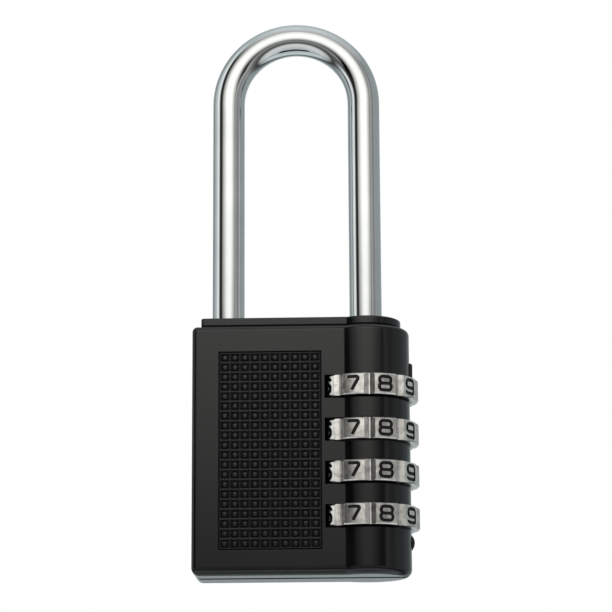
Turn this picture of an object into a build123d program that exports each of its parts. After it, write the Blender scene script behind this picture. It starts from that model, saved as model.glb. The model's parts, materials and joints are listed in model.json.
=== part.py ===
from build123d import *
import os
from math import cos, radians, sin

# Four-dial combination padlock with a long shackle. Millimetres, +Z up.
# The origin lies on the flat base, midway between the shackle's two legs.
# +X points to the dial side, -Y to the front face.

# Shackle
leg_spacing = 26.86
leg_x = leg_spacing / 2             # the long leg, which is also the dial axis
wire_r = 3.15
shackle_top_z = 111.4
short_leg_depth = 7.0               # how far the short leg enters the cap
lug_h = 2.8
lug_w = 2.0
lug_reach = 4.7                     # from the leg's axis to the lug's tip
leg_hole_clear = 0.1

# Dials
dial_r = 10.02
dial_h = 4.05
dial_pitch = 8.33
dial_count = 4
lowest_dial_z = 11.02
dial_float = (0.07, -0.15, 0.09, 0.12)     # where each wheel lies in the play of its slot
numbers = 10
step_deg = 360 / numbers
zero_deg = 94.0                     # where the zero stands, from the front towards the dial side
groove_half_deg = 6.1
groove_depth = 0.6
groove_floor = 0.24
digit_w = 2.42                      # between stroke centres
digit_h = 2.6
digit_stroke = 0.66
digit_depth = 0.32

# Clutch sleeves
sleeve_r = 5.5
sleeve_h = dial_pitch - 0.1
keyway_w = 2.3
park_r = 4.95                       # the recess where a lug can swing
park_h = 3.5
tooth_h = 1.6
tooth_w = 1.2
tooth_r = 6.15
dial_bore_r = 6.4

# Casing
case_left = -20.0
case_h = 48.1
case_half_t = 7.3
barrel_r = 8.37
wall = 1.5
edge_r = 1.0
base_edge_r = 1.5
slot_left = 5.5
slot_h = 4.5
mark_r = 0.5
mark_h = 3.0
seam_w = 0.12
seam_depth = 0.25
seam_bevel = (1.8, 0.3)             # depth and height of the front shell's bevel along the base

# Lock core
core_gap = 0.1                      # between the core and the shells
cap_top_z = 50.05
cap_edge_r = 0.35
cap_groove = (0.3, 0.4)             # height and depth of the groove round the cap's foot
cap_groove_z = 48.3
bore_r = sleeve_r + 0.1
chamber_r = 10.4
ceiling_z = 43.7                    # top of the chamber that the top lug rises into
lug_slot_reach = 4.95

# Grip panels
panel_x = (-14.88, 4.91)
panel_z = (4.7, 43.05)
panel_t = 0.6
panel_gap = 0.28
grip_columns = 10
grip_rows = 20
rib_w = 0.45

# Small parts
dowel_r = 1.0
dowel_places = ((-16.8, 6.0), (-16.8, 41.0), (6.0, 3.6), (7.0, 45.2))
keeper_y = 4.1
keeper_z = 45.7
keeper_r = 0.75
keeper_l = 9.0
seat_z = wall
seat_h = 0.8
seat_r = 5.3
spigot_r = 1.0
spigot_h = 1.4
washer_t = 0.7
washer_bore_r = 3.4
comb_x = 1.75
comb_t = 0.35
comb_y = (3.9, 5.6)
comb_z = (5.2, 41.4)
comb_play = 0.4                     # between the comb and the pocket that holds it
finger_h = 2.4
nose_r = 0.38
reset_wire_r = 0.4
reset_mean_r = 4.55
lift_wire_r = 0.225
lift_mean_r = 1.35

leg_end_z = 4.6
spring_bore_r = 1.8
spring_bore_top = 17.6

# Worked out from the above
case_right = leg_x + barrel_r
core_r = barrel_r - wall - core_gap
dial_z = [lowest_dial_z + dial_pitch * (dial_count - 1 - n) for n in range(dial_count)]
stack_base_z = dial_z[-1] - sleeve_h / 2
stack_top_z = stack_base_z + dial_count * dial_pitch
lug_base = stack_base_z - dial_z[-1] + 0.3          # from a dial's middle to its lug's underside
washer_top_z = stack_base_z - 0.1


def block(x, y, z):
    """A box given by its low and high limits on each axis."""
    return Pos(x[0], y[0], z[0]) * Box(
        x[1] - x[0], y[1] - y[0], z[1] - z[0], align=(Align.MIN, Align.MIN, Align.MIN)
    )


def rod(radius, z, at=(leg_x, 0)):
    """An upright cylinder between two heights."""
    return Pos(at[0], at[1], z[0]) * Cylinder(
        radius, z[1] - z[0], align=(Align.CENTER, Align.CENTER, Align.MIN)
    )


def case_outline(inset):
    """The plan of the lock body, a flat slab that ends in a round barrel."""
    slab = Pos(case_left + inset, 0) * Rectangle(
        leg_x - case_left - inset, 2 * (case_half_t - inset), align=(Align.MIN, Align.CENTER)
    )
    return slab + Pos(leg_x, 0) * Circle(barrel_r - inset)


def upright_edges(solid, x_low, x_high):
    """The vertical edges of a solid whose place in X lies in a range."""
    return [e for e in solid.edges().filter_by(Axis.Z) if x_low < e.center().X < x_high]


def case_block():
    """The outside of the closed casing, with its soft edges."""
    solid = extrude(case_outline(0), case_h)
    solid = fillet(upright_edges(solid, case_left - 1, case_left + 1), edge_r)
    solid = fillet(upright_edges(solid, 0, leg_x - 1), 0.5)
    solid = fillet(solid.faces().sort_by(Axis.Z)[-1].outer_wire().edges(), edge_r)
    return fillet(solid.faces().sort_by(Axis.Z)[0].outer_wire().edges(), base_edge_r)


def seam_groove():
    """The fine step where the front shell meets the rear one."""
    slab = block((case_left - 1, case_right + 1), (-seam_w, 1), (-1, case_h + 1))
    inside = extrude(case_outline(seam_depth), case_h - 2 * seam_depth)
    depth, height = seam_bevel
    bevel = make_face(Polyline((0, -1), (0, height), (-depth, 0), (-depth, -1), close=True))
    along_base = extrude(Plane.YZ * bevel, case_right - case_left)
    return slab - Pos(0, 0, seam_depth) * inside + Pos(case_left, 0, 0) * along_base


def index_marks():
    """The raised marks on the barrel that the number line is read against."""
    top_from = dial_z[0] + slot_h / 2
    upper = rod(mark_r, (top_from, top_from + mark_h), (case_right + 0.1, 0))
    upper += Pos(case_right + 0.1, 0, top_from + mark_h) * Sphere(mark_r)
    half_l = mark_h / 2
    lens = make_face(ThreePointArc((0, -half_l), (0.6, 0), (0, half_l)) + Line((0, half_l), (0, -half_l)))
    lower_z = dial_z[-1] - slot_h / 2 - 0.6 - half_l
    lower = Pos(case_right, 0, lower_z) * revolve(Plane.XZ * lens, Axis.Z)
    return upper + lower


def dowels(radius, half_length):
    """Pins along Y at the dowel places."""
    pin = Rot(90, 0, 0) * Cylinder(radius, 2 * half_length)
    return [Pos(x, 0, z) * pin for x, z in dowel_places]


def shell(front):
    """One cast half of the casing: front or rear."""
    side = -1 if front else 1
    solid = case_block() + index_marks()
    solid -= extrude(Pos(0, 0, wall) * case_outline(wall), case_h)
    for z in dial_z:
        solid -= block((slot_left, case_right + 2), (-12, 12), (z - slot_h / 2, z + slot_h / 2))
        solid -= rod(chamber_r, (z - slot_h / 2, z + slot_h / 2))
    recess = sorted((side * (case_half_t - panel_t), side * (case_half_t + 1)))
    solid -= block(panel_x, recess, panel_z)
    solid -= dowels(dowel_r, case_half_t - 0.6)
    half = (-12, 0) if front else (0, 12)
    solid &= block((case_left - 1, case_right + 2), half, (-1, case_h + 1))
    return solid - seam_groove() if front else solid


def grip_panel(front):
    """A thin plate with a lattice of ribs and a pointed stud in every cell."""
    width = panel_x[1] - panel_x[0] - 2 * panel_gap
    height = panel_z[1] - panel_z[0] - 2 * panel_gap
    plate = Box(width, height, panel_t, align=(Align.CENTER, Align.CENTER, Align.MAX))
    pitch_x = (width - rib_w) / grip_columns
    pitch_y = (height - rib_w) / grip_rows
    pit = Box(pitch_x - rib_w, pitch_y - rib_w, 0.36, align=(Align.CENTER, Align.CENTER, Align.MAX))
    stud = extrude(Pos(0, 0, -0.36) * Rectangle(1.1, 1.1), 0.3, taper=40)
    plate -= [place * (pit - stud) for place in GridLocations(pitch_x, pitch_y, grip_columns, grip_rows)]
    middle = Plane(
        origin=(sum(panel_x) / 2, -case_half_t if front else case_half_t, sum(panel_z) / 2),
        x_dir=(1, 0, 0) if front else (-1, 0, 0),
        z_dir=(0, -1, 0) if front else (0, 1, 0),
    )
    return middle * plate


def lock_core():
    """The inner block: it carries both legs, the dials and the sleeve stack, and ends in the cap."""
    inset = wall + core_gap
    solid = extrude(Pos(0, 0, wall) * case_outline(inset), cap_top_z - wall)
    solid = fillet(upright_edges(solid, case_left, case_left + 3), 0.6)
    solid = fillet(solid.faces().sort_by(Axis.Z)[-1].outer_wire().edges(), cap_edge_r)
    height, depth = cap_groove
    foot = extrude(case_outline(inset - 1) - case_outline(inset + depth), height)
    solid -= Pos(0, 0, cap_groove_z) * foot
    solid -= rod(wire_r + leg_hole_clear, (ceiling_z - 1, cap_top_z + 1))
    solid -= rod(park_r, (dial_z[0], ceiling_z))
    solid -= rod(bore_r, (0, stack_top_z))
    solid -= rod(wire_r + 0.15, (cap_top_z - short_leg_depth - 0.7, cap_top_z + 1), (-leg_x, 0))
    for z in dial_z:
        solid -= rod(chamber_r, (z - slot_h / 2, z + slot_h / 2))
    loading_slot = block((leg_x - keyway_w / 2, leg_x + keyway_w / 2), (0, lug_slot_reach),
                         (ceiling_z - 1, cap_top_z + 1))
    solid -= loading_slot
    pocket_z = (comb_z[0] - comb_play, comb_z[1] + comb_play)
    solid -= block((comb_x - 0.15, comb_x + 1.75), (-comb_play, 7), pocket_z)
    solid -= dowels(dowel_r, 12)
    return solid - keeper_pin()


def keeper_pin():
    """The cross pin that closes the loading slot once the shackle is in."""
    edge = leg_x + (core_r ** 2 - (keeper_y + keeper_r) ** 2) ** 0.5
    return Pos(edge, keeper_y, keeper_z) * Rot(0, -90, 0) * Cylinder(
        keeper_r, keeper_l, align=(Align.CENTER, Align.CENTER, Align.MIN)
    )


def shackle():
    """The bow with its short and long legs, and the four lugs that the sleeves hold down."""
    bow_z = shackle_top_z - wire_r - leg_x
    ring = Pos(0, 0, bow_z) * Rot(90, 0, 0) * Torus(leg_x, wire_r)
    solid = ring & block((-20, 20), (-5, 5), (bow_z, bow_z + 20))
    short = rod(wire_r, (cap_top_z - short_leg_depth, bow_z), (-leg_x, 0))
    long = rod(wire_r, (leg_end_z, bow_z))
    short = chamfer(short.faces().sort_by(Axis.Z)[0].edges(), 0.6)
    long = chamfer(long.faces().sort_by(Axis.Z)[0].edges(), 0.5)
    solid += [short, long]
    for z in dial_z:
        lug_z = z + lug_base
        lug = block((leg_x - lug_reach, leg_x - 2), (-lug_w / 2, lug_w / 2), (lug_z, lug_z + lug_h))
        solid += fillet(lug.edges().filter_by(Axis.Y).sort_by(Axis.X)[:2], 0.35)
    return solid - rod(spring_bore_r, (0, spring_bore_top))


def digit_lines(digit):
    """The centre lines of one numeral's strokes, in a box of digit_w by digit_h."""
    w = digit_w / 2
    h = digit_h / 2
    r = 0.6
    open_lines = {
        1: [((-0.55, h - 0.55), (0.1, h), (0.1, -h))],
        2: [((-w, h - 0.75), (-w, h), (w, h), (w, 0.1), (-w, -h), (w, -h))],
        3: [((-w, h), (w, h), (w, 0), (-0.5, 0)), ((0.3, 0), (w, 0), (w, -h), (-w, -h))],
        4: [((0.55, h), (-w, -0.55), (w, -0.55)), ((0.55, h), (0.55, -h))],
        5: [((w - 0.1, h), (-w, h), (-w, 0.15), (w, 0.15), (w, -h), (-w, -h))],
        6: [((w, h - 0.45), (w, h), (-w, h), (-w, -0.5))],
        7: [((-w, h), (w, h), (-0.3, -h))],
        9: [((-w, -h + 0.45), (-w, -h), (w, -h), (w, 0.5))],
    }
    corner_r = {1: 0.36, 2: 0.42, 3: 0.5, 4: 0.36, 5: 0.42, 6: 0.42, 7: 0.36, 9: 0.42}
    loops = {
        0: [(0, 0, digit_w - 0.2, digit_h, 0.95)],
        6: [(0, -0.55, digit_w, digit_h - 1.1, r)],
        8: [(0, h / 2, digit_w - 0.15, h, r), (0, -h / 2, digit_w, h, r)],
        9: [(0, 0.55, digit_w, digit_h - 1.1, r)],
    }
    lines = []
    for points in open_lines.get(digit, []):
        bent = len(points) > 2
        lines.append(FilletPolyline(*points, radius=corner_r[digit]) if bent else Line(*points))
    for x, y, width, height, radius in loops.get(digit, []):
        lines.append((Pos(x, y) * RectangleRounded(width, height, radius)).face().outer_wire())
    return lines


def numeral(digit):
    """The cutter for one numeral, standing on its pad."""
    angle = radians(zero_deg + digit * step_deg)
    outward = Vector(sin(angle), -cos(angle), 0)
    plane = Plane(origin=outward * (dial_r - digit_depth), x_dir=(cos(angle), sin(angle), 0), z_dir=outward)
    face = Sketch() + [trace(line, digit_stroke) for line in digit_lines(digit)]
    return extrude(plane * face, 1.5)


def dial_blank():
    """A number wheel before engraving: ten pads, ten shallow grooves and a toothed ring inside."""
    outline = Circle(dial_r)
    half = radians(groove_half_deg)
    groove = Polyline(
        (dial_r - groove_depth, -groove_floor / 2),
        (dial_r - groove_depth, groove_floor / 2),
        (dial_r * cos(half), dial_r * sin(half)),
        (dial_r + 1, dial_r * sin(half)),
        (dial_r + 1, -dial_r * sin(half)),
        (dial_r * cos(half), -dial_r * sin(half)),
        close=True,
    )
    first = zero_deg - 90 + step_deg / 2
    for n in range(numbers):
        outline -= Rot(0, 0, first + n * step_deg) * make_face(groove)
    wheel = extrude(outline, dial_h / 2, both=True)
    soft = Cylinder(dial_r, dial_h)
    wheel &= chamfer(soft.edges().filter_by(GeomType.CIRCLE), 0.22)
    wheel -= rod(dial_bore_r, (-3, -0.1), (0, 0))
    wheel -= rod(bore_r, (-3, 3), (0, 0))
    notch = block((0, tooth_r + 0.1), (-tooth_w / 2 - 0.08, tooth_w / 2 + 0.08), (-3, 3))
    return wheel - [Rot(0, 0, first + n * step_deg) * notch for n in range(numbers)]


def dial():
    """A finished number wheel, centred on its own axis."""
    return dial_blank() - [numeral(digit) for digit in range(numbers)]


def clutch_sleeve():
    """The sleeve inside a dial: a keyway lets a lug pass only when its number is on the line."""
    bottom = stack_base_z - dial_z[-1]
    sleeve = rod(sleeve_r, (bottom, bottom + sleeve_h), (0, 0))
    sleeve -= rod(wire_r + leg_hole_clear, (-5, 5), (0, 0))
    sleeve -= rod(park_r, (-5, bottom + park_h), (0, 0))
    sleeve -= block((-park_r, 0), (-keyway_w / 2, keyway_w / 2), (-5, 5))
    tooth = block((sleeve_r - 0.5, tooth_r), (-tooth_w / 2, tooth_w / 2), (0, tooth_h))
    first = zero_deg - 90 + step_deg / 2
    return sleeve + [Rot(0, 0, first + n * step_deg) * tooth for n in range(numbers)]


def detent_comb():
    """A spring-steel strip with one finger for each dial; its nose clicks in the dial's grooves."""
    comb = block((comb_x, comb_x + comb_t), comb_y, comb_z)
    angle = radians(zero_deg + 4.5 * step_deg)
    nose = Vector(leg_x, 0) + Vector(sin(angle), -cos(angle)) * (dial_r + 0.5)
    path = Polyline((comb_x + comb_t / 2, comb_y[0] + 0.5), (nose.X - 0.3, nose.Y), (2.3, 0.4))
    finger = extrude(trace(path, comb_t), finger_h) + rod(nose_r, (0, finger_h), (nose.X, nose.Y))
    for z in dial_z:
        comb += Pos(0, 0, z - finger_h / 2) * finger
    return comb


def coil(mean_r, wire, low_z, high_z, turns):
    """A round-wire compression spring on the dial axis."""
    height = high_z - low_z - 2 * wire
    path = Helix(height / turns, height, mean_r)
    section = Plane(origin=path @ 0, z_dir=path % 0) * Circle(wire)
    return Pos(leg_x, 0, low_z + wire) * sweep(section, path=path, is_frenet=True)


def spring_seat():
    """The disc that both springs stand on, with a spigot for the inner one."""
    return rod(seat_r, (seat_z, seat_z + seat_h)) + rod(spigot_r, (seat_z, seat_z + seat_h + spigot_h))


def thrust_washer():
    """The washer between the reset spring and the sleeve stack."""
    solid = rod(sleeve_r - 0.05, (washer_top_z - washer_t, washer_top_z))
    return solid - rod(washer_bore_r, (0, washer_top_z + 1))


def build():
    """The solids of the lock by name."""
    parts = {
        "front_shell": shell(True),
        "rear_shell": shell(False),
        "front_grip_panel": grip_panel(True),
        "rear_grip_panel": grip_panel(False),
        "lock_core": lock_core(),
        "shell_dowels": Compound(children=dowels(dowel_r, case_half_t - 0.6)),
        "keeper_pin": keeper_pin(),
        "detent_comb": detent_comb(),
        "spring_seat": spring_seat(),
        "thrust_washer": thrust_washer(),
        "reset_spring": coil(reset_mean_r, reset_wire_r, seat_z + seat_h, washer_top_z - washer_t, 2.25),
        "shackle_spring": coil(lift_mean_r, lift_wire_r, seat_z + seat_h, spring_bore_top - 0.02, 14),
        "shackle": shackle(),
    }
    wheel = dial()
    sleeve = clutch_sleeve()
    for number, z in enumerate(dial_z, start=1):
        parts[f"dial_{number}"] = Pos(leg_x, 0, z + dial_float[number - 1]) * wheel
        parts[f"clutch_sleeve_{number}"] = Pos(leg_x, 0, z) * sleeve
    return parts


os.makedirs("parts", exist_ok=True)
for name, shape in build().items():
    export_step(shape, f"parts/{name}.step")
    print(name)
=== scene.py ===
import bmesh
import bpy
import json
import math
from mathutils import Matrix, Vector


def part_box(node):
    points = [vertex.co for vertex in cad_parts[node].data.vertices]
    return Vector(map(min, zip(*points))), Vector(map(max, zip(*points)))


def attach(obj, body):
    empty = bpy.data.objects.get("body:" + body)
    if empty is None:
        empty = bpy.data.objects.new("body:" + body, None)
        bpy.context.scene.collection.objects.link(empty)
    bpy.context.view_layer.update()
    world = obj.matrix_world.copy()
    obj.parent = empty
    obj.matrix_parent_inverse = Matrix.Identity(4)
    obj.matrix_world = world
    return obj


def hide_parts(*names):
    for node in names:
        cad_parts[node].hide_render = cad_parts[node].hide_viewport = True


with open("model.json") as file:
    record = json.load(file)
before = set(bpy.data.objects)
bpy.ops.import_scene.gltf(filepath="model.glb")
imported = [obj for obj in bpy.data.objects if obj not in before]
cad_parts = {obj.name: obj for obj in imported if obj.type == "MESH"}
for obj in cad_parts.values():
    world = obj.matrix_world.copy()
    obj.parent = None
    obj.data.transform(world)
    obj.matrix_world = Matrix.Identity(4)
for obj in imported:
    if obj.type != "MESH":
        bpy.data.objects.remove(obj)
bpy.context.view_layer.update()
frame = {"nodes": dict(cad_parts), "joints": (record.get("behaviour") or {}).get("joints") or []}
print("frame loaded:", len(frame["nodes"]), "nodes")

mm = 0.001

# The Mix node keeps a set of sockets for each kind of value.
mixShare = 0
numberA, numberB, mixedNumber = 2, 3, 0
colourA, colourB, mixedColour = 6, 7, 2


def linear(hexColour):
    # sRGB hex to the linear values that the shaders take
    values = [int(hexColour[i:i + 2], 16) / 255 for i in (1, 3, 5)]
    return [v / 12.92 if v <= 0.04045 else ((v + 0.055) / 1.055) ** 2.4 for v in values] + [1.0]


def patternScale(sizeMm):
    # a texture's scale counts per metre, and the patterns are measured in millimetres
    return 1000 / sizeMm


def addNode(tree, kind, values=None, links=None, stops=None, **settings):
    made = tree.nodes.new(kind)
    for name, value in settings.items():
        setattr(made, name, value)
    for socket, value in (values or {}).items():
        made.inputs[socket].default_value = value
    for socket, source in (links or {}).items():
        tree.links.new(source, made.inputs[socket])
    if stops:
        ramp = made.color_ramp.elements
        ramp[0].position, ramp[1].position = stops[0][0], stops[-1][0]
        for spot, _ in stops[1:-1]:
            ramp.new(spot)
        for element, (_, colour) in zip(ramp, stops):
            element.color = linear(colour) if isinstance(colour, str) else [colour] * 3 + [1]
    return made


def emptyMaterial(name):
    material = bpy.data.materials.new(name)
    material.use_nodes = True
    tree = material.node_tree
    tree.nodes.clear()
    return material, tree, addNode(tree, "ShaderNodeOutputMaterial")


def newFinish(name):
    material, tree, out = emptyMaterial(name)
    shader = addNode(tree, "ShaderNodeBsdfPrincipled")
    tree.links.new(shader.outputs[0], out.inputs["Surface"])
    place = addNode(tree, "ShaderNodeTexCoord").outputs["Object"]
    return material, tree, shader, place


def joinFinish(tree, shader, colour, rough, relief):
    for socket, source in (("Base Color", colour), ("Roughness", rough), ("Normal", relief)):
        tree.links.new(source, shader.inputs[socket])


# Rubbed edges with painted highlight, and painted shade in the gaps, on enamel and metal alike:
# where each starts and is full, and how many rays look for it.
edgeAndShadeSettings = {
    "edgeRays": 4, "edgeStart": 0.985, "edgeFull": 0.85,    # how well rounded and flat normals agree
    "gapRays": 6, "gapStart": 0.85, "gapFull": 0.40,        # how open the view from the surface is
}


def edgeWearAndHighlight(tree, radius):
    # near 0 on flat ground and near 1 along a sharp edge, from how far a rounded normal leans;
    # it lightens the edges as rubbed wear and painted highlight
    maskSettings = edgeAndShadeSettings
    flat = addNode(tree, "ShaderNodeNewGeometry")
    soft = addNode(tree, "ShaderNodeBevel", {"Radius": radius}, samples=maskSettings["edgeRays"])
    lean = addNode(tree, "ShaderNodeVectorMath", None, {0: flat.outputs["Normal"], 1: soft.outputs[0]},
                   operation="DOT_PRODUCT")
    wearAndHighlight = addNode(tree, "ShaderNodeMapRange", {"From Min": maskSettings["edgeStart"], "From Max": maskSettings["edgeFull"]},
                   {"Value": lean.outputs["Value"]})
    return wearAndHighlight.outputs[0]


def paintedShadeMask(tree, reach):
    # near 1 deep in a gap or a corner and 0 on open ground: where the painted shade goes
    maskSettings = edgeAndShadeSettings
    hidden = addNode(tree, "ShaderNodeAmbientOcclusion", {"Distance": reach}, samples=maskSettings["gapRays"])
    depth = addNode(tree, "ShaderNodeMapRange", {"From Min": maskSettings["gapStart"], "From Max": maskSettings["gapFull"]},
                    {"Value": hidden.outputs["AO"]})
    return depth.outputs[0]


# Gloss black enamel, sprayed and baked on cast zinc: deep black with a wet shine, broken a
# little by orange peel, a trace greyer along the edges, which is thin paint and painted
# highlight, and dull and darker in the gaps, which is painted shade.
enamelSettings = {
    "tint": [(0.35, "#0b0c0d"), (0.75, "#131415")],    # clean, then faintly dusty
    "patchMm": 9.0, "patchDetail": 4.0, "roughness": (0.09, 0.18), "ior": 1.5,
    "peelMm": 1.3, "peelDetail": 2.0, "peelHeight": 0.0014 * mm, "peelStrength": 0.35,
    "speckMm": 2.4, "speckShare": 0.035, "speck": "#030303",
    # the edge colour is thin paint and painted highlight along the edges
    "edgeRadius": 0.12 * mm, "edge": "#26282a",
    # the gap colour is painted shade, laid deep in gaps and corners
    "shadeReach": 0.5 * mm, "paintedGapShade": "#020202", "gapRoughness": 0.85,
}


def bakedEnamel():
    material, tree, shader, place = newFinish("bakedBlackEnamel")
    look = enamelSettings
    patch = addNode(tree, "ShaderNodeTexNoise",
                    {"Scale": patternScale(look["patchMm"]), "Detail": look["patchDetail"]},
                    {"Vector": place})
    peel = addNode(tree, "ShaderNodeTexNoise",
                   {"Scale": patternScale(look["peelMm"]), "Detail": look["peelDetail"]},
                   {"Vector": place})
    cells = addNode(tree, "ShaderNodeTexVoronoi", {"Scale": patternScale(look["speckMm"])},
                    {"Vector": place})
    tint = addNode(tree, "ShaderNodeValToRGB", None, {"Fac": patch.outputs[0]}, look["tint"])
    # lighter along the edges: thin, rubbed paint and painted highlight
    wearAndHighlight = edgeWearAndHighlight(tree, look["edgeRadius"])
    edged = addNode(tree, "ShaderNodeMix", {colourB: linear(look["edge"])},
                    {mixShare: wearAndHighlight, colourA: tint.outputs[0]}, data_type="RGBA")
    speck = addNode(tree, "ShaderNodeMath", {1: look["speckShare"]}, {0: cells.outputs["Distance"]},
                    operation="LESS_THAN")
    specked = addNode(tree, "ShaderNodeMix", {colourB: linear(look["speck"])},
                      {mixShare: speck.outputs[0], colourA: edged.outputs[mixedColour]}, data_type="RGBA")
    # painted shade: darker and duller deep in gaps and corners
    paintedGapShade = paintedShadeMask(tree, look["shadeReach"])
    colour = addNode(tree, "ShaderNodeMix", {colourB: linear(look["paintedGapShade"])},
                     {mixShare: paintedGapShade, colourA: specked.outputs[mixedColour]}, data_type="RGBA")
    sheen = addNode(tree, "ShaderNodeMapRange",
                    {"To Min": look["roughness"][0], "To Max": look["roughness"][1]},
                    {"Value": patch.outputs[0]})
    rough = addNode(tree, "ShaderNodeMix", {numberB: look["gapRoughness"]},
                    {mixShare: paintedGapShade, numberA: sheen.outputs[0]})
    soft = addNode(tree, "ShaderNodeBevel", {"Radius": look["edgeRadius"]}, samples=edgeAndShadeSettings["edgeRays"])
    relief = addNode(tree, "ShaderNodeBump",
                     {"Strength": look["peelStrength"], "Distance": look["peelHeight"]},
                     {"Height": peel.outputs[0], "Normal": soft.outputs[0]})
    shader.inputs["IOR"].default_value = look["ior"]
    joinFinish(tree, shader, colour.outputs[mixedColour], rough.outputs[mixedNumber], relief.outputs[0])
    return material


# Chromium plate on ground and polished steel rod: a bright cool mirror with faint drawing
# lines up the legs. Real ones are finer than 0.1 mm, so these are as coarse as they need to show.
chromeSettings = {
    "tint": [(0.3, "#e2e4e3"), (0.7, "#d6d9d9")],
    "cloudMm": 6.0, "roughness": (0.015, 0.045), "detail": 3.0,
    "lineMm": 0.25, "lineLengthMm": 9.0, "lineHeight": 0.0004 * mm, "lineStrength": 0.3,
}


def polishedChrome():
    material, tree, shader, place = newFinish("polishedChromePlate")
    look = chromeSettings
    across, along = patternScale(look["lineMm"]), patternScale(look["lineLengthMm"])
    stretch = addNode(tree, "ShaderNodeMapping", {"Scale": (across, across, along)}, {"Vector": place})
    lines = addNode(tree, "ShaderNodeTexNoise", {"Scale": 1.0, "Detail": look["detail"]},
                    {"Vector": stretch.outputs[0]})
    cloud = addNode(tree, "ShaderNodeTexNoise",
                    {"Scale": patternScale(look["cloudMm"]), "Detail": look["detail"]}, {"Vector": place})
    tint = addNode(tree, "ShaderNodeValToRGB", None, {"Fac": cloud.outputs[0]}, look["tint"])
    rough = addNode(tree, "ShaderNodeMapRange",
                    {"To Min": look["roughness"][0], "To Max": look["roughness"][1]},
                    {"Value": cloud.outputs[0]})
    relief = addNode(tree, "ShaderNodeBump",
                     {"Strength": look["lineStrength"], "Distance": look["lineHeight"]},
                     {"Height": lines.outputs[0]})
    shader.inputs["Metallic"].default_value = 1.0
    joinFinish(tree, shader, tint.outputs[0], rough.outputs[0], relief.outputs[0])
    return material


# Bare metals share one build: each has its own grain, tarnish, pits, edges lightened by
# rubbing and painted highlight, and painted shade deep in the gaps. The grain of a real one
# is finer than 0.1 mm, so it is drawn as coarse as it needs to show.
metalSettings = {
    # nickel plate on tumbled zinc castings: pale warm grey, satin, cloudy, with a few dark pits
    # and rims rubbed bright, with painted highlight on them
    "tumbledNickel": {
        "tint": [(0.36, "#d3d0cb"), (0.56, "#f6f3ee")], "cloudMm": 1.3, "roughness": (0.22, 0.29),
        "grainMm": 0.28, "grainHeight": 0.0010 * mm, "rubbedAndHighlight": "#ffffff",
        "pit": "#1c1a18", "pitShare": 0.07, "shadeReach": 1.2 * mm,
    },
    # brass turned on a lathe: yellow, with a fine grain, and darker deep in the lock with painted shade
    "turnedBrass": {
        "tint": [(0.36, "#b98f48"), (0.56, "#d9b36a")], "cloudMm": 2.0, "roughness": (0.2, 0.35),
        "grainMm": 0.3, "grainHeight": 0.002 * mm, "rubbedAndHighlight": "#ecd092",
        "pit": "#6b4f22", "pitShare": 0.05, "shadeReach": 4.0 * mm,
    },
    # bright drawn steel for the pins and the washer: mid grey and plain
    "drawnSteel": {
        "tint": [(0.36, "#8f9092"), (0.56, "#b9babb")], "cloudMm": 2.0, "roughness": (0.25, 0.42),
        "grainMm": 0.4, "grainHeight": 0.002 * mm, "rubbedAndHighlight": "#dcdddd",
        "pit": "#3c3a38", "pitShare": 0.06, "shadeReach": 1.0 * mm,
    },
    # oil-tempered spring steel: darker, blue-grey
    "temperedSteel": {
        "tint": [(0.36, "#5f6166"), (0.56, "#8a8c90")], "cloudMm": 1.5, "roughness": (0.3, 0.48),
        "grainMm": 0.3, "grainHeight": 0.002 * mm, "rubbedAndHighlight": "#a9abae",
        "pit": "#2c2b2b", "pitShare": 0.05, "shadeReach": 1.0 * mm,
    },
}
metalDetail = 4.0
metalEdgeRadius = 0.10 * mm
grainStrength = 0.4
pitMm = 0.9
gapShadeColour = "#0a0907"    # painted shade, the colour laid deep in the gaps between parts


def bareMetal(name):
    material, tree, shader, place = newFinish(name)
    look = metalSettings[name]
    grain = addNode(tree, "ShaderNodeTexNoise",
                    {"Scale": patternScale(look["grainMm"]), "Detail": metalDetail}, {"Vector": place})
    cloud = addNode(tree, "ShaderNodeTexNoise",
                    {"Scale": patternScale(look["cloudMm"]), "Detail": metalDetail}, {"Vector": place})
    cells = addNode(tree, "ShaderNodeTexVoronoi", {"Scale": patternScale(pitMm)}, {"Vector": place})
    tint = addNode(tree, "ShaderNodeValToRGB", None, {"Fac": cloud.outputs[0]}, look["tint"])
    # lighter along the edges: rubbed wear and painted highlight
    wearAndHighlight = edgeWearAndHighlight(tree, metalEdgeRadius)
    edged = addNode(tree, "ShaderNodeMix", {colourB: linear(look["rubbedAndHighlight"])},
                    {mixShare: wearAndHighlight, colourA: tint.outputs[0]}, data_type="RGBA")
    pit = addNode(tree, "ShaderNodeMath", {1: look["pitShare"]}, {0: cells.outputs["Distance"]},
                  operation="LESS_THAN")
    pitted = addNode(tree, "ShaderNodeMix", {colourB: linear(look["pit"])},
                     {mixShare: pit.outputs[0], colourA: edged.outputs[mixedColour]}, data_type="RGBA")
    # painted shade: darker deep in gaps and corners
    paintedGapShade = paintedShadeMask(tree, look["shadeReach"])
    colour = addNode(tree, "ShaderNodeMix", {colourB: linear(gapShadeColour)},
                     {mixShare: paintedGapShade, colourA: pitted.outputs[mixedColour]}, data_type="RGBA")
    rough = addNode(tree, "ShaderNodeMapRange",
                    {"To Min": look["roughness"][0], "To Max": look["roughness"][1]},
                    {"Value": cloud.outputs[0]})
    soft = addNode(tree, "ShaderNodeBevel", {"Radius": metalEdgeRadius}, samples=edgeAndShadeSettings["edgeRays"])
    relief = addNode(tree, "ShaderNodeBump", {"Strength": grainStrength, "Distance": look["grainHeight"]},
                     {"Height": grain.outputs[0], "Normal": soft.outputs[0]})
    shader.inputs["Metallic"].default_value = 1.0
    joinFinish(tree, shader, colour.outputs[mixedColour], rough.outputs[0], relief.outputs[0])
    return material


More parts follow.
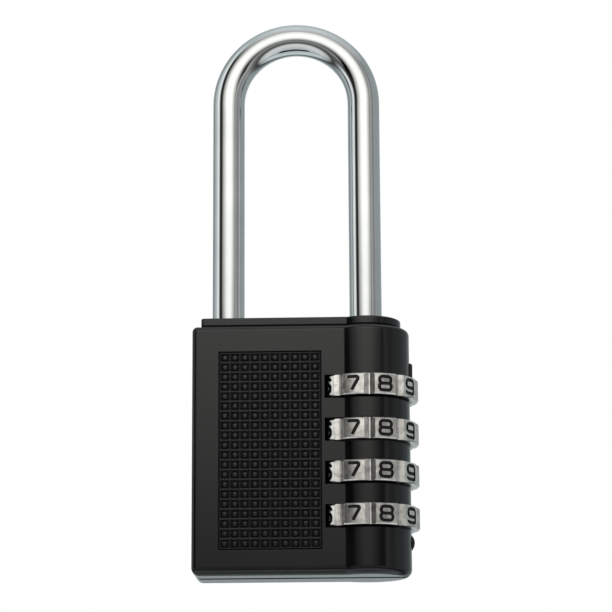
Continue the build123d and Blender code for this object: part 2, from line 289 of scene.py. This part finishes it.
# Black enamel wiped into the engraved numerals: matt beside the glossy casing.
fillSettings = {
    "tint": [(0.4, "#060606"), (0.8, "#121211")], "roughness": (0.35, 0.55),
    "grainMm": 0.2, "grainDetail": 3.0, "grainHeight": 0.01 * mm, "grainStrength": 0.3,
}


def wipedFill():
    material, tree, shader, place = newFinish("wipedBlackFill")
    look = fillSettings
    grain = addNode(tree, "ShaderNodeTexNoise",
                    {"Scale": patternScale(look["grainMm"]), "Detail": look["grainDetail"]},
                    {"Vector": place})
    tint = addNode(tree, "ShaderNodeValToRGB", None, {"Fac": grain.outputs[0]}, look["tint"])
    rough = addNode(tree, "ShaderNodeMapRange",
                    {"To Min": look["roughness"][0], "To Max": look["roughness"][1]},
                    {"Value": grain.outputs[0]})
    relief = addNode(tree, "ShaderNodeBump",
                     {"Strength": look["grainStrength"], "Distance": look["grainHeight"]},
                     {"Height": grain.outputs[0]})
    joinFinish(tree, shader, tint.outputs[0], rough.outputs[0], relief.outputs[0])
    return material


enamel = bakedEnamel()
chrome = polishedChrome()
nickel = bareMetal("tumbledNickel")
brass = bareMetal("turnedBrass")
steel = bareMetal("drawnSteel")
spring = bareMetal("temperedSteel")
fill = wipedFill()
finishes = {
    "front_shell": enamel, "rear_shell": enamel, "lock_core": enamel, "shackle": chrome,
    "shell_dowels": steel, "keeper_pin": steel, "thrust_washer": steel, "spring_seat": brass,
    "detent_comb": spring, "reset_spring": spring, "shackle_spring": spring,
}
dialNumbers = range(1, 5)
for number in dialNumbers:
    finishes[f"dial_{number}"] = nickel
    finishes[f"clutch_sleeve_{number}"] = brass
for name, finish in finishes.items():
    mesh = frame["nodes"][name].data
    mesh.materials.clear()
    mesh.materials.append(finish)
print("materials made and given to the CAD nodes")


# The numerals are cut into the dials' pads, so their walls and floors take the black fill.
dialShape = {
    "radius": 10.02 * mm, "numeralFloor": 9.5 * mm, "skin": 0.03 * mm, "numeralHalfHeight": 1.75 * mm,
    "padHalfAngle": math.radians(10.5), "zeroAngle": math.radians(94), "step": math.radians(36),
}
dialX = frame["joints"][1]["pos_m"][0]    # the dials turn about the long leg


def fillNumerals(node):
    shape = dialShape
    low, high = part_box(node)
    middle = Vector((dialX, 0, ((low + high) / 2).z))
    mesh = frame["nodes"][node].data
    mesh.materials.append(fill)
    for face in mesh.polygons:
        x, y, z = face.center - middle
        radius = math.hypot(x, y)
        turn = (math.atan2(x, -y) - shape["zeroAngle"]) % shape["step"]
        fromPad = min(turn, shape["step"] - turn)
        cut = shape["numeralFloor"] < radius < shape["radius"] - shape["skin"]
        if cut and abs(z) < shape["numeralHalfHeight"] and fromPad < shape["padHalfAngle"]:
            face.material_index = 1    # the fill, which is the second slot


for number in dialNumbers:
    fillNumerals(f"dial_{number}")
print("numerals filled")


# The grip panel: a lattice of narrow ribs, and in each cell a blunt stud in a deep pit. The
# sizes of ribs and studs are shares of a cell, which is about 1.9 mm each way.
gripSettings = {
    "columns": 10, "rows": 20, "steps": 20,
    "ribHalf": 0.065, "ribSlope": 0.05, "pitDepth": 0.52 * mm,
    "studFoot": 0.40, "studTop": 0.17, "studHeight": 0.47 * mm,
    "studPower": 3,    # 2 would give the studs a round foot, and more a squarer one
}


def eased(t):
    # 0 to 1 with a soft start and end
    t = min(max(t, 0), 1)
    return t * t * (3 - 2 * t)


def gripHeight(u, v):
    # u and v run from -0.5 to 0.5 across one cell, and the ribs' top is at height 0
    grip = gripSettings
    pit = eased((0.5 - max(abs(u), abs(v)) - grip["ribHalf"]) / grip["ribSlope"])
    reach = (abs(u) ** grip["studPower"] + abs(v) ** grip["studPower"]) ** (1 / grip["studPower"])
    climb = eased((grip["studFoot"] - reach) / (grip["studFoot"] - grip["studTop"]))
    return grip["studHeight"] * climb - grip["pitDepth"] * pit


def makeGripPanel(name, node, front):
    steps = gripSettings["steps"]
    across, upward = gripSettings["columns"] * steps, gripSettings["rows"] * steps
    low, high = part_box(node)
    width, height = high.x - low.x, high.z - low.z
    top, back = (low.y, high.y) if front else (high.y, low.y)
    outward = -1 if front else 1
    bm = bmesh.new()
    grid = []
    for i in range(across + 1):
        column = []
        for k in range(upward + 1):
            y = top + outward * gripHeight((i % steps) / steps - 0.5, (k % steps) / steps - 0.5)
            column.append(bm.verts.new((low.x + width * i / across, y, low.z + height * k / upward)))
        grid.append(column)
    for i in range(across):
        for k in range(upward):
            bm.faces.new((grid[i][k], grid[i + 1][k], grid[i + 1][k + 1], grid[i][k + 1]))
    # the rim, once round, then four sides down to the CAD panel's back, and the back itself
    rim = ([column[0] for column in grid] + grid[-1][1:]
           + [column[-1] for column in grid[-2::-1]] + grid[0][-2:0:-1])
    foot = [bm.verts.new((corner.co.x, back, corner.co.z)) for corner in rim]
    for n in range(len(rim)):
        bm.faces.new((rim[n - 1], rim[n], foot[n], foot[n - 1]))
    bm.faces.new(foot)
    bmesh.ops.recalc_face_normals(bm, faces=bm.faces)
    mesh = bpy.data.meshes.new(name)
    bm.to_mesh(mesh)
    bm.free()
    mesh.shade_smooth()
    mesh.materials.append(enamel)
    panel = bpy.data.objects.new(name, mesh)
    bpy.context.scene.collection.objects.link(panel)
    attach(panel, "case")
    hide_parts(node)


makeGripPanel("frontGripRelief", "front_grip_panel", True)
makeGripPanel("rearGripRelief", "rear_grip_panel", False)
print("grip panels made")


# The studio: a large soft box in front of the lock, walls of uneven brightness round it, and
# white paper behind. Brightness is what a mirror there would show, with 1 as paper white.
studioSettings = {
    "peak": 1.5,    # the brightest that a wall or the soft box may be
    # walls, by compass direction in degrees: 0 where the camera stands, positive to the right
    "walls": [(-180, 0.62), (-150, 0.45), (-128, 0.30), (-114, 0.56), (-102, 0.65), (-91, 0.78),
              (-81, 1.06), (-72, 0.98), (-65, 0.08), (-56, 0.01), (-50, 0.04), (-40, 0.30), (0, 0.35),
              (40, 0.35), (49, 0.42), (56, 0.44), (64, 0.28), (72, 0.28), (81, 0.40), (91, 0.40),
              (102, 0.38), (114, 0.45), (128, 0.38), (150, 0.48), (180, 0.62)],
    # ceiling and ground, by height in degrees, from straight down to straight up
    "heights": [(-90, 0.30), (-80, 0.60), (-65, 0.71), (-50, 0.86), (-41, 0.6), (-35, 0.08), (-24, 0.16),
                (-12, 0.5), (45, 0.9), (63, 0.64), (78, 0.86), (90, 0.76)],
    # how much the walls show rather than ceiling and ground, by height in degrees
    "wallBand": [(-30.6, 0.0), (-10.8, 1.0), (45, 1.0), (63, 0.0)],
    # a cool tint at the back of the room, by how far back it is: -1 is straight in front
    "shade": "#eaf6f8", "shadeFrom": -0.5, "shadeFull": 0.3,
    # the soft box, in metres: its distance in front, and its brightness across and up
    "boxPlace": -0.40, "warm": "#fffefa",
    "across": [(-0.45, 0.0), (-0.40, 0.14), (-0.336, 0.33), (-0.25, 0.50), (-0.187, 0.67),
               (-0.13, 0.86), (-0.04, 1.0), (0.06, 1.0), (0.13, 0.95), (0.187, 0.80), (0.25, 0.57),
               (0.336, 0.40), (0.40, 0.25), (0.45, 0.1)],
    "up": [(-0.02, 0.12), (0.02, 0.17), (0.055, 0.33), (0.095, 0.58), (0.135, 0.83), (0.217, 0.99),
           (0.35, 0.92), (0.54, 0.66), (0.62, 0.5)],
    # its lit part is 0.58 of its full width at the lower end, and widens with height in metres
    "waist": {"From Min": 0.06, "From Max": 0.19, "To Min": 0.58, "To Max": 1.0},
    "floorHalf": 1.5, "floorColour": "#fbfbfa", "floorGlow": 0.3,
}


def asShares(stops, first, last, peak=1.0):
    # places become shares of the way from first to last, and values shares of the peak
    return [((place - first) / (last - first), value / peak) for place, value in stops]


def makeWorld():
    studio = studioSettings
    world = bpy.data.worlds.new("whiteStudio")
    world.use_nodes = True
    tree = world.node_tree
    tree.nodes.clear()
    out = addNode(tree, "ShaderNodeOutputWorld")
    place = addNode(tree, "ShaderNodeTexCoord")
    axes = addNode(tree, "ShaderNodeSeparateXYZ", None, {0: place.outputs["Generated"]})
    forward = addNode(tree, "ShaderNodeMath", {1: -1.0}, {0: axes.outputs[1]}, operation="MULTIPLY")
    turn = addNode(tree, "ShaderNodeMath", None, {0: axes.outputs[0], 1: forward.outputs[0]},
                   operation="ARCTAN2")
    around = addNode(tree, "ShaderNodeMapRange", {"From Min": -math.pi, "From Max": math.pi},
                     {"Value": turn.outputs[0]})
    walls = addNode(tree, "ShaderNodeValToRGB", None, {"Fac": around.outputs[0]},
                    asShares(studio["walls"], -180, 180, studio["peak"]))
    rise = addNode(tree, "ShaderNodeMath", None, {0: axes.outputs[2]}, operation="ARCSINE")
    height = addNode(tree, "ShaderNodeMapRange", {"From Min": -math.pi / 2, "From Max": math.pi / 2},
                     {"Value": rise.outputs[0]})
    layers = addNode(tree, "ShaderNodeValToRGB", None, {"Fac": height.outputs[0]},
                     asShares(studio["heights"], -90, 90, studio["peak"]))
    band = addNode(tree, "ShaderNodeValToRGB", None, {"Fac": height.outputs[0]},
                   asShares(studio["wallBand"], -90, 90))
    room = addNode(tree, "ShaderNodeMix", None,
                   {mixShare: band.outputs[0], colourA: layers.outputs[0], colourB: walls.outputs[0]},
                   data_type="RGBA")
    away = addNode(tree, "ShaderNodeMapRange",
                   {"From Min": studio["shadeFrom"], "From Max": studio["shadeFull"]},
                   {"Value": axes.outputs[1]})
    tinted = addNode(tree, "ShaderNodeMix", {colourB: linear(studio["shade"])},
                     {mixShare: away.outputs[0], colourA: room.outputs[mixedColour]},
                     data_type="RGBA", blend_type="MULTIPLY")
    wall = addNode(tree, "ShaderNodeBackground", {"Strength": studio["peak"]},
                   {"Color": tinted.outputs[mixedColour]})
    paper = addNode(tree, "ShaderNodeBackground", {"Color": (1, 1, 1, 1), "Strength": 1.0})
    path = addNode(tree, "ShaderNodeLightPath")
    seen = addNode(tree, "ShaderNodeMixShader", None,
                   {0: path.outputs["Is Camera Ray"], 1: wall.outputs[0], 2: paper.outputs[0]})
    tree.links.new(seen.outputs[0], out.inputs["Surface"])
    bpy.context.scene.world = world


def makeSheet(name, corners):
    mesh = bpy.data.meshes.new(name)
    mesh.from_pydata(corners, [], [(0, 1, 2, 3)])
    sheet = bpy.data.objects.new(name, mesh)
    bpy.context.scene.collection.objects.link(sheet)
    return sheet


def makeSoftBox():
    studio = studioSettings
    y = studio["boxPlace"]
    left, right = studio["across"][0][0], studio["across"][-1][0]
    low, high = studio["up"][0][0], studio["up"][-1][0]
    box = makeSheet("frontSoftBox", [(left, y, low), (right, y, low), (right, y, high), (left, y, high)])
    material, tree, out = emptyMaterial("softBoxCloth")
    place = addNode(tree, "ShaderNodeTexCoord")
    axes = addNode(tree, "ShaderNodeSeparateXYZ", None, {0: place.outputs["Object"]})
    waist = addNode(tree, "ShaderNodeMapRange", studio["waist"], {"Value": axes.outputs[2]})
    spread = addNode(tree, "ShaderNodeMath", None, {0: axes.outputs[0], 1: waist.outputs[0]},
                     operation="DIVIDE")
    shares = []
    for source, key, first, last in ((spread.outputs[0], "across", left, right),
                                     (axes.outputs[2], "up", low, high)):
        share = addNode(tree, "ShaderNodeMapRange", {"From Min": first, "From Max": last}, {"Value": source})
        shares.append(addNode(tree, "ShaderNodeValToRGB", None, {"Fac": share.outputs[0]},
                              asShares(studio[key], first, last)))
    light = addNode(tree, "ShaderNodeMix", {mixShare: 1.0},
                    {colourA: shares[0].outputs[0], colourB: shares[1].outputs[0]},
                    data_type="RGBA", blend_type="MULTIPLY")
    warm = addNode(tree, "ShaderNodeMix", {mixShare: 1.0, colourB: linear(studio["warm"])},
                   {colourA: light.outputs[mixedColour]}, data_type="RGBA", blend_type="MULTIPLY")
    glow = addNode(tree, "ShaderNodeEmission", {"Strength": studio["peak"]},
                   {"Color": warm.outputs[mixedColour]})
    tree.links.new(glow.outputs[0], out.inputs["Surface"])
    box.data.materials.append(material)
    box.visible_camera = False
    box.visible_shadow = False


def makeFloor():
    # pale paper that the lock stands on; it is clear from below, where the camera looks up
    studio = studioSettings
    half = studio["floorHalf"]
    floor = makeSheet("floorPaper", [(-half, -half, 0), (half, -half, 0), (half, half, 0), (-half, half, 0)])
    material, tree, out = emptyMaterial("matPaper")
    paper = addNode(tree, "ShaderNodeBsdfDiffuse", {"Color": linear(studio["floorColour"])})
    glow = addNode(tree, "ShaderNodeEmission", {"Strength": studio["floorGlow"]})
    pale = addNode(tree, "ShaderNodeAddShader", None, {0: paper.outputs[0], 1: glow.outputs[0]})
    clear = addNode(tree, "ShaderNodeBsdfTransparent")
    side = addNode(tree, "ShaderNodeNewGeometry")
    mixed = addNode(tree, "ShaderNodeMixShader", None,
                    {0: side.outputs["Backfacing"], 1: pale.outputs[0], 2: clear.outputs[0]})
    tree.links.new(mixed.outputs[0], out.inputs["Surface"])
    floor.data.materials.append(material)
    floor.visible_glossy = False
    floor.visible_diffuse = False
    floor.visible_shadow = False


# The camera stands a little below the lock, looks slightly up and has a long lens.
cameraSettings = {
    "target": (1.758 * mm, 0, 53.52 * mm), "distance": 484.3 * mm, "nearest": 10 * mm,
    "azimuth": 2.07, "elevation": -12.95, "roll": -0.295,    # degrees
    "sensor": 36.0, "focalToSensor": 4.0358,
}


def makeCamera():
    view = cameraSettings
    azimuth, elevation, roll = (math.radians(view[key]) for key in ("azimuth", "elevation", "roll"))
    back = Vector((math.sin(azimuth) * math.cos(elevation), -math.cos(azimuth) * math.cos(elevation),
                   math.sin(elevation)))
    right = (-back).cross(Vector((0, 0, 1))).normalized()
    up = right.cross(-back)
    rolledRight = right * math.cos(roll) + up * math.sin(roll)
    rolledUp = up * math.cos(roll) - right * math.sin(roll)
    camera = bpy.data.cameras.new("productCamera")
    camera.sensor_width = view["sensor"]
    camera.lens = view["sensor"] * view["focalToSensor"]
    camera.clip_start = view["nearest"]
    holder = bpy.data.objects.new("productCamera", camera)
    turned = Matrix((rolledRight, rolledUp, back)).transposed().to_4x4()
    holder.matrix_world = Matrix.Translation(Vector(view["target"]) + back * view["distance"]) @ turned
    bpy.context.scene.collection.objects.link(holder)
    bpy.context.scene.camera = holder


makeWorld()
makeSoftBox()
makeFloor()
makeCamera()
bpy.context.scene.view_settings.view_transform = "Standard"
print("studio and camera made")
